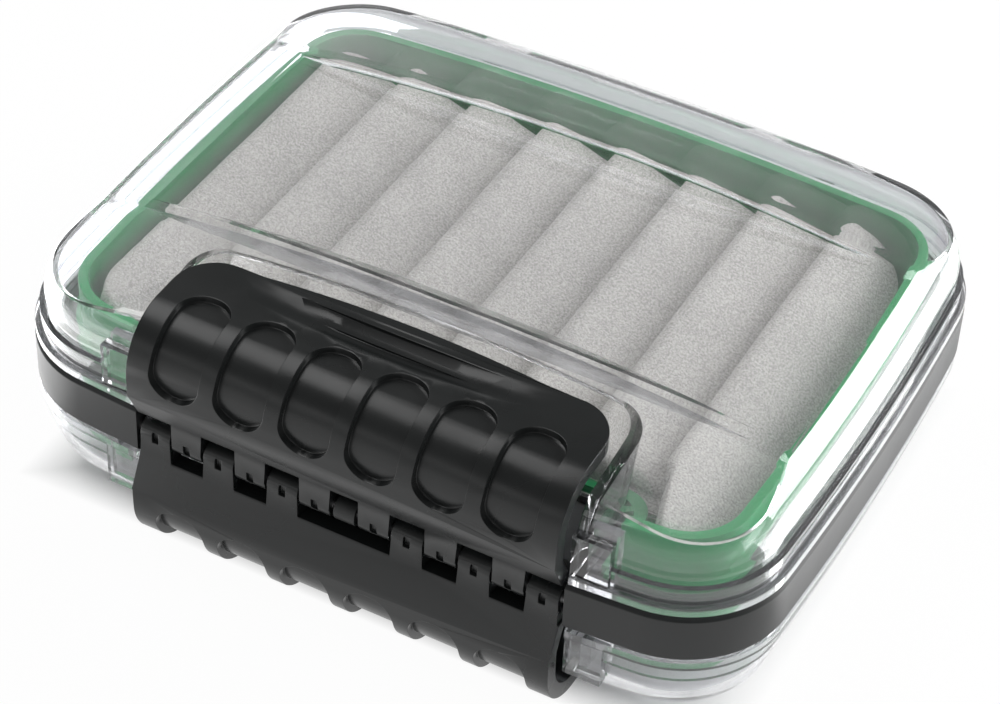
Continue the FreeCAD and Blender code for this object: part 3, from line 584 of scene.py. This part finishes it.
def drop_slivers(data):
    """Joins corners that meet and takes away loose slivers that the cuts left."""
    mesh = bmesh.new()
    mesh.from_mesh(data)
    bmesh.ops.remove_doubles(mesh, verts=mesh.verts, dist=MEET)
    bmesh.ops.dissolve_degenerate(mesh, edges=mesh.edges, dist=MEET)
    seen = set()
    loose = []
    for start in mesh.faces:
        if start in seen:
            continue
        island, waiting = [], [start]
        seen.add(start)
        while waiting:
            face = waiting.pop()
            island.append(face)
            for edge in face.edges:
                for other in edge.link_faces:
                    if other not in seen:
                        seen.add(other)
                        waiting.append(other)
        if len(island) < SLIVER_FACES:
            loose += island
    bmesh.ops.delete(mesh, geom=loose, context="FACES")
    mesh.to_mesh(data)
    mesh.free()


def make_lid():
    """Builds a clear lid with its panel, notch, ledge, lugs and hinge knuckles."""
    forms = []
    for thin in (0.0, WALL):
        forms.append(carved(lid_block(thin), [crown_tool(thin), panel_tool(thin), notch_tool(thin)]))
    lid = carved(forms[0], [forms[1]])
    extras = [block_piece("ledge", *LEDGE)]
    for side in (-1, 1):
        near, far = sorted((side * LUG_NEAR, side * LUG_FAR))
        extras.append(block_piece("lug", (near, LUG_FRONT, FOOT), (far, LUG_BACK, LUG_TOP)))
    bores = []
    for start, stop in ARMS:
        extras.append(block_piece("arm", (start, ARM_FRONT, ARM_FOOT), (stop, ARM_BACK, FLANGE_TOP)))
        extras.append(rod_piece("barrel", BARREL_RADIUS, HINGE_LINE, start, stop))
        bores.append(rod_piece("bore", BORE_RADIUS, HINGE_LINE, start - PAST_BORE, stop + PAST_BORE))
    carved(lid, extras, "UNION")
    carved(lid, bores)
    drop_slivers(lid.data)
    for face in lid.data.polygons:
        face.use_smooth = True
    lid.data.set_sharp_from_angle(angle=math.radians(LID_SHARP))
    return lid


# Moulded pieces
# Angles in degrees: faces that meet at less than SMOOTH_BELOW shade as one
SMOOTH_BELOW, SOFTEN_ABOVE, FLAT_WEIGHT = 38, 40, 80
LATCH_ROUGH, FRAME_ROUGH = 0.29, 0.42
STEEL, RUBBER, FILM = (0.55, 0.55, 0.56), (0.03, 0.03, 0.03), (0.7, 0.68, 0.62)
# Clear lids: the share of the thin skin in the glass, and the bounces after which light goes straight
SKIN_SHARE, STRAIGHT_AFTER = 0.12, 4.5


def shade_group():
    """Node group that smooths faces and keeps edges sharper than an angle sharp."""
    group = bpy.data.node_groups.new("smooth_by_angle", "GeometryNodeTree")
    group.interface.new_socket("Mesh", in_out="INPUT", socket_type="NodeSocketGeometry")
    group.interface.new_socket("Mesh", in_out="OUTPUT", socket_type="NodeSocketGeometry")
    start = group.nodes.new("NodeGroupInput")
    stop = group.nodes.new("NodeGroupOutput")
    angle = group.nodes.new("GeometryNodeInputMeshEdgeAngle")
    compare = group.nodes.new("FunctionNodeCompare")
    compare.data_type = "FLOAT"
    compare.operation = "LESS_THAN"
    compare.inputs["B"].default_value = math.radians(SMOOTH_BELOW)
    edges = group.nodes.new("GeometryNodeSetShadeSmooth")
    edges.domain = "EDGE"
    faces = group.nodes.new("GeometryNodeSetShadeSmooth")
    faces.domain = "FACE"
    faces.inputs["Shade Smooth"].default_value = True
    link = group.links.new
    link(start.outputs[0], edges.inputs["Geometry"])
    link(angle.outputs["Unsigned Angle"], compare.inputs["A"])
    link(compare.outputs[0], edges.inputs["Shade Smooth"])
    link(edges.outputs[0], faces.inputs["Geometry"])
    link(faces.outputs[0], stop.inputs[0])
    return group


def soften(piece, width, group):
    """Joins a moulded piece's faces, turns its edges slightly and smooths its shading."""
    weld = piece.modifiers.new("weld", "WELD")
    weld.merge_threshold = MEET
    if width:
        edge = piece.modifiers.new("edge", "BEVEL")
        edge.width = width
        edge.segments = 2
        edge.limit_method = "ANGLE"
        edge.angle_limit = math.radians(SOFTEN_ABOVE)
        edge.use_clamp_overlap = False
    smooth = piece.modifiers.new("smooth", "NODES")
    smooth.node_group = group
    even = piece.modifiers.new("even", "WEIGHTED_NORMAL")
    even.keep_sharp = True
    even.weight = FLAT_WEIGHT


def black_finish(settings, name, rough):
    """Black moulded plastic with a faint eroded texture."""
    finish = Finish(name)
    cloud = finish.grain(70, 3.0)
    fine = finish.grain(5200, 2.0)
    colour = finish.tint(cloud, rgba(settings.black_colour, 0.85), rgba(settings.black_colour, 1.25))
    shine = cloud.between(0.3, 0.7) * 0.08 + (rough - 0.04)
    return finish.done(finish.surface(
        Base_Color=colour, Roughness=shine, Specular_IOR_Level=0.45,
        Normal=finish.bump(fine, 0.12, 0.00004)))


def tray_finish(settings):
    """Green moulded plastic with flow marks."""
    finish = Finish("tray_green")
    cloud = finish.grain(35, 3.0, warp=0.4)
    colour = finish.tint(cloud, rgba(settings.tray_colour, 0.85), rgba(settings.tray_colour, 1.2))
    return finish.done(finish.surface(
        Base_Color=colour, Roughness=cloud.between(0.2, 0.8) * 0.1 + 0.3, Specular_IOR_Level=0.5,
        Normal=finish.bump(finish.grain(900, 2.0), 0.05, 0.00005)))


def clear_finish(settings):
    """Clear moulded plastic; light passes straight through it onto what lies inside."""
    finish = Finish("lid_clear")
    ripple = finish.bump(finish.grain(45, 2.0), 0.05, 0.0004)
    haze = finish.grain(260, 3.0).between(0.35, 0.75) * 0.015 + 0.012
    glass = finish.surface(
        Base_Color=rgba(settings.clear_colour), Roughness=haze, IOR=1.49, Transmission_Weight=1.0,
        Coat_Weight=0.8, Normal=ripple)
    open_side = finish.node("ShaderNodeBsdfTransparent", None, {"Color": rgba(settings.through_colour)})
    gleam = finish.node("ShaderNodeBsdfGlossy", None, {"Color": WHITE, "Roughness": 0.04})
    slant = finish.node("ShaderNodeLayerWeight", None, {"Blend": 0.5}, output="Facing")
    mirrored = slant ** 5.0 * 0.9 + 0.04
    skin = finish.node("ShaderNodeMixShader", None, {0: mirrored, 1: open_side, 2: gleam})
    clear = finish.node("ShaderNodeMixShader", None, {0: SKIN_SHARE, 1: glass, 2: skin})
    shadow = finish.node("ShaderNodeLightPath", output="Is Shadow Ray")
    depth = finish.node("ShaderNodeLightPath", output="Ray Depth")
    straight = shadow.maths("MAXIMUM", shadow, depth.maths("GREATER_THAN", depth, STRAIGHT_AFTER))
    return finish.done(finish.node("ShaderNodeMixShader", None, {0: straight, 1: clear, 2: open_side}))


def plain_finish(name, colour, rough, metal=0.0):
    """A plain surface with a slight grain."""
    finish = Finish(name)
    fine = finish.grain(1500, 2.0)
    tint = finish.tint(fine, rgba(colour, 0.85), rgba(colour, 1.15))
    return finish.done(finish.surface(
        Base_Color=tint, Roughness=fine * 0.1 + rough, Metallic=metal,
        Normal=finish.bump(fine, 0.1, 0.00003)))


def dress(node, finish, width, group):
    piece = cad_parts[node]
    piece.data.materials.clear()
    piece.data.materials.append(finish)
    soften(piece, width, group)


class FLYBOX_OT_lids(bpy.types.Operator):
    """Builds both clear lids in place of the plain ones"""

    bl_idname = "fly_box.lids"
    bl_label = "Clear lids"

    def execute(self, context):
        finish = clear_finish(context.scene.fly_box)
        upper = make_lid()
        lower = bpy.data.objects.new("lower_lid_clear", upper.data)
        context.scene.collection.objects.link(lower)
        lower.matrix_world = (Matrix.Translation((0, 0, MIDDLE)) @ Matrix.Rotation(math.pi, 4, "Y")
                              @ Matrix.Translation((0, 0, -MIDDLE)))
        upper.name = "upper_lid_clear"
        upper.data.materials.clear()
        upper.data.materials.append(finish)
        for piece, node in ((upper, "upper_lid"), (lower, "lower_lid")):
            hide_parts(node)
            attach(piece, node)
        return {"FINISHED"}


class FLYBOX_OT_latches(bpy.types.Operator):
    """Gives both latches and the steel pins their finish"""

    bl_idname = "fly_box.latches"
    bl_label = "Latches and pins"

    def execute(self, context):
        settings = context.scene.fly_box
        group = shade_group()
        black = black_finish(settings, "latch_black", LATCH_ROUGH)
        steel = plain_finish("pin_steel", STEEL, 0.25, 1.0)
        for node in ("upper_latch", "lower_latch"):
            dress(node, black, settings.edge_width, group)
        for node in ("latch_pin", "left_hinge_pin", "right_hinge_pin"):
            dress(node, steel, 0.0, group)
        return {"FINISHED"}


class FLYBOX_OT_body(bpy.types.Operator):
    """Gives the band, the tray, the seals and the adhesive their finish"""

    bl_idname = "fly_box.body"
    bl_label = "Band and tray"

    def execute(self, context):
        settings = context.scene.fly_box
        group = shade_group()
        black = black_finish(settings, "frame_black", FRAME_ROUGH)
        dress("centre_frame", black, settings.edge_width, group)
        dress("inner_tray", tray_finish(settings), settings.edge_width, group)
        rubber = plain_finish("seal_rubber", RUBBER, 0.6)
        film = plain_finish("adhesive_film", FILM, 0.6)
        for node, finish in (("upper_seal", rubber), ("lower_seal", rubber),
                             ("upper_adhesive", film), ("lower_adhesive", film)):
            dress(node, finish, 0.0, group)
        return {"FINISHED"}


# Studio
SEEN = ("Is Camera Ray", "Is Glossy Ray", "Is Transmission Ray")
FLOOR_REACH, FLOOR_DROP, FLOOR_COLOUR = 4.0, 0.02 * MM, (0.9, 0.9, 0.9, 1.0)
# The floor glows from these distances off the middle, along X and along Y
GLOW_REACH, GLOW_EDGE, GLOW_SHARE = (0.060, 0.047), (0.9, 1.04), 0.97
SKY_DIM, SKY_DIM_HEIGHT = 0.82, 0.3
# Name, place, width and height of each light, all in metres
LIGHTS = (("side", (0.44, 0.43, 0.28), 0.5, 0.5), ("top", (-0.3, 0.04, 0.62), 0.4, 0.32),
          ("front", (-0.22, -0.54, 0.28), 0.34, 0.12))
# Name, place on the floor and share of the power of each card
CARDS = (("right_card", 0.15, 0.1, 1.0), ("left_card", -0.14, -0.02, 0.7))
CARD_LEVEL, CARD_WIDTH, CARD_LENGTH = 1.5 * MM, 0.14, 0.24
# Angles of the camera in degrees, its distance in metres and its lens in millimetres
CAMERA_TURN, CAMERA_RISE, CAMERA_ROLL = 26.33, 40.68, 2.98
CAMERA_AWAY, CAMERA_LENS, CAMERA_SHIFT = 0.471, 106.1, (-0.0056, -0.0268)


def seen_directly(finish):
    """One for what the camera sees straight, mirrored or through clear plastic."""
    ways = [finish.node("ShaderNodeLightPath", output=name) for name in SEEN]
    return (ways[0] + ways[1] + ways[2]).between(0.0, 1.0)


def make_floor():
    """A white floor that glows where it is seen, but not under the box."""
    data = bpy.data.meshes.new("floor")
    far, low = FLOOR_REACH, CAD_BOX[0][2] - FLOOR_DROP
    data.from_pydata([(-far, -far, low), (far, -far, low), (far, far, low), (-far, far, low)],
                     [], [(0, 1, 2, 3)])
    floor = bpy.data.objects.new("floor", data)
    bpy.context.scene.collection.objects.link(floor)
    finish = Finish("floor_white")
    pale = finish.node("ShaderNodeBsdfDiffuse", None, {"Color": FLOOR_COLOUR})
    spot = [finish.node("ShaderNodeSeparateXYZ", None, {"Vector": finish.place()}, output=axis)
            for axis in ("X", "Y")]
    away = [place.maths("ABSOLUTE", place) * (1.0 / reach) for place, reach in zip(spot, GLOW_REACH)]
    clear_of_box = away[0].maths("MAXIMUM", *away).between(*GLOW_EDGE)
    glow = seen_directly(finish) * clear_of_box * GLOW_SHARE
    white = finish.node("ShaderNodeEmission", None, {"Color": WHITE, "Strength": 1.0})
    both = finish.node("ShaderNodeMixShader", None, {0: glow, 1: pale, 2: white})
    floor.data.materials.append(finish.done(both))


def make_world(settings):
    """White where it is seen straight; mirrored, it is white low down and dimmer overhead."""
    sky = Finish("studio", world=True)
    camera, mirrored, through = [sky.node("ShaderNodeLightPath", output=name) for name in SEEN]
    straight = (camera + through).between(0.0, 1.0)
    mirror = (mirrored - through).between(0.0, 1.0)
    way = sky.node("ShaderNodeTexCoord", output="Generated")
    height = sky.node("ShaderNodeSeparateXYZ", None, {"Vector": way}, output="Z")
    dim = 1.0 - height.between(0.0, SKY_DIM_HEIGHT) * SKY_DIM
    level = mirror * (dim - settings.sky_level) + settings.sky_level
    strength = straight + (1.0 - straight) * level
    bpy.context.scene.world = sky.done(
        sky.node("ShaderNodeBackground", None, {"Color": WHITE, "Strength": strength}))


def make_light(name, place, aim, width, height, power):
    data = bpy.data.lights.new(name, "AREA")
    data.shape = "RECTANGLE"
    data.size = width
    data.size_y = height
    data.energy = power
    light = bpy.data.objects.new(name, data)
    bpy.context.scene.collection.objects.link(light)
    light.location = place
    light.rotation_mode = "QUATERNION"
    light.rotation_quaternion = (Vector(aim) - Vector(place)).to_track_quat("-Z", "Y")
    return light


def make_camera():
    """Sets the camera where the picture of the box was taken from."""
    turn, rise, roll = [math.radians(angle) for angle in (CAMERA_TURN, CAMERA_RISE, CAMERA_ROLL)]
    back = Vector((math.sin(turn) * math.cos(rise), -math.cos(turn) * math.cos(rise), math.sin(rise)))
    across = Vector((math.cos(turn), math.sin(turn), 0.0))
    up = back.cross(across)
    right = across * math.cos(roll) + up * math.sin(roll)
    top = up * math.cos(roll) - across * math.sin(roll)
    data = bpy.data.cameras.new("camera")
    data.sensor_width = 36.0
    data.lens = CAMERA_LENS
    data.shift_x, data.shift_y = CAMERA_SHIFT
    data.clip_start = 0.01
    data.clip_end = 20.0
    camera = bpy.data.objects.new("camera", data)
    bpy.context.scene.collection.objects.link(camera)
    spot = back * CAMERA_AWAY + Vector((0.0, BACK_SHIFT * MM, MIDDLE))
    camera.matrix_world = Matrix((
        (right.x, top.x, back.x, spot.x), (right.y, top.y, back.y, spot.y),
        (right.z, top.z, back.z, spot.z), (0.0, 0.0, 0.0, 1.0)))
    bpy.context.scene.camera = camera


class FLYBOX_OT_studio(bpy.types.Operator):
    """Sets up the floor, the lights and the camera"""

    bl_idname = "fly_box.studio"
    bl_label = "Studio"

    def execute(self, context):
        settings = context.scene.fly_box
        make_floor()
        make_world(settings)
        aim = (0.0, 0.0, MIDDLE)
        powers = (settings.key_power, settings.top_power, settings.front_power)
        for (name, place, width, height), power in zip(LIGHTS, powers):
            make_light(name + "_light", place, aim, width, height, power)
        for name, x, y, share in CARDS:
            power = settings.card_power * share
            card = make_light(
                name, (x, y, CARD_LEVEL), (x, y, 1.0), CARD_WIDTH, CARD_LENGTH, power)
            card.visible_camera = False
        make_camera()
        context.scene.view_settings.view_transform = "Standard"
        return {"FINISHED"}


STEPS = ("foam_mats", "lids", "latches", "body", "studio")


class FLYBOX_PT_panel(bpy.types.Panel):
    """Lists the steps and the settings of the fly box"""

    bl_label = "Fly box"
    bl_idname = "FLYBOX_PT_panel"
    bl_space_type = "VIEW_3D"
    bl_region_type = "UI"
    bl_category = "Fly box"

    def draw(self, context):
        settings = context.scene.fly_box
        for name in settings.bl_rna.properties.keys():
            if name not in ("rna_type", "name"):
                self.layout.prop(settings, name)
        for step in STEPS:
            self.layout.operator("fly_box." + step)


CLASSES = (FlyBoxSettings, FLYBOX_OT_foam_mats, FLYBOX_OT_lids, FLYBOX_OT_latches, FLYBOX_OT_body,
           FLYBOX_OT_studio, FLYBOX_PT_panel)


def register():
    for item in CLASSES:
        bpy.utils.register_class(item)
    bpy.types.Scene.fly_box = PointerProperty(type=FlyBoxSettings)


def unregister():
    del bpy.types.Scene.fly_box
    for item in reversed(CLASSES):
        bpy.utils.unregister_class(item)


def main():
    register()
    for step in STEPS:
        if getattr(bpy.ops.fly_box, step)() != {"FINISHED"}:
            raise RuntimeError("the step " + step + " did not finish")


if __name__ == "__main__":
    main()
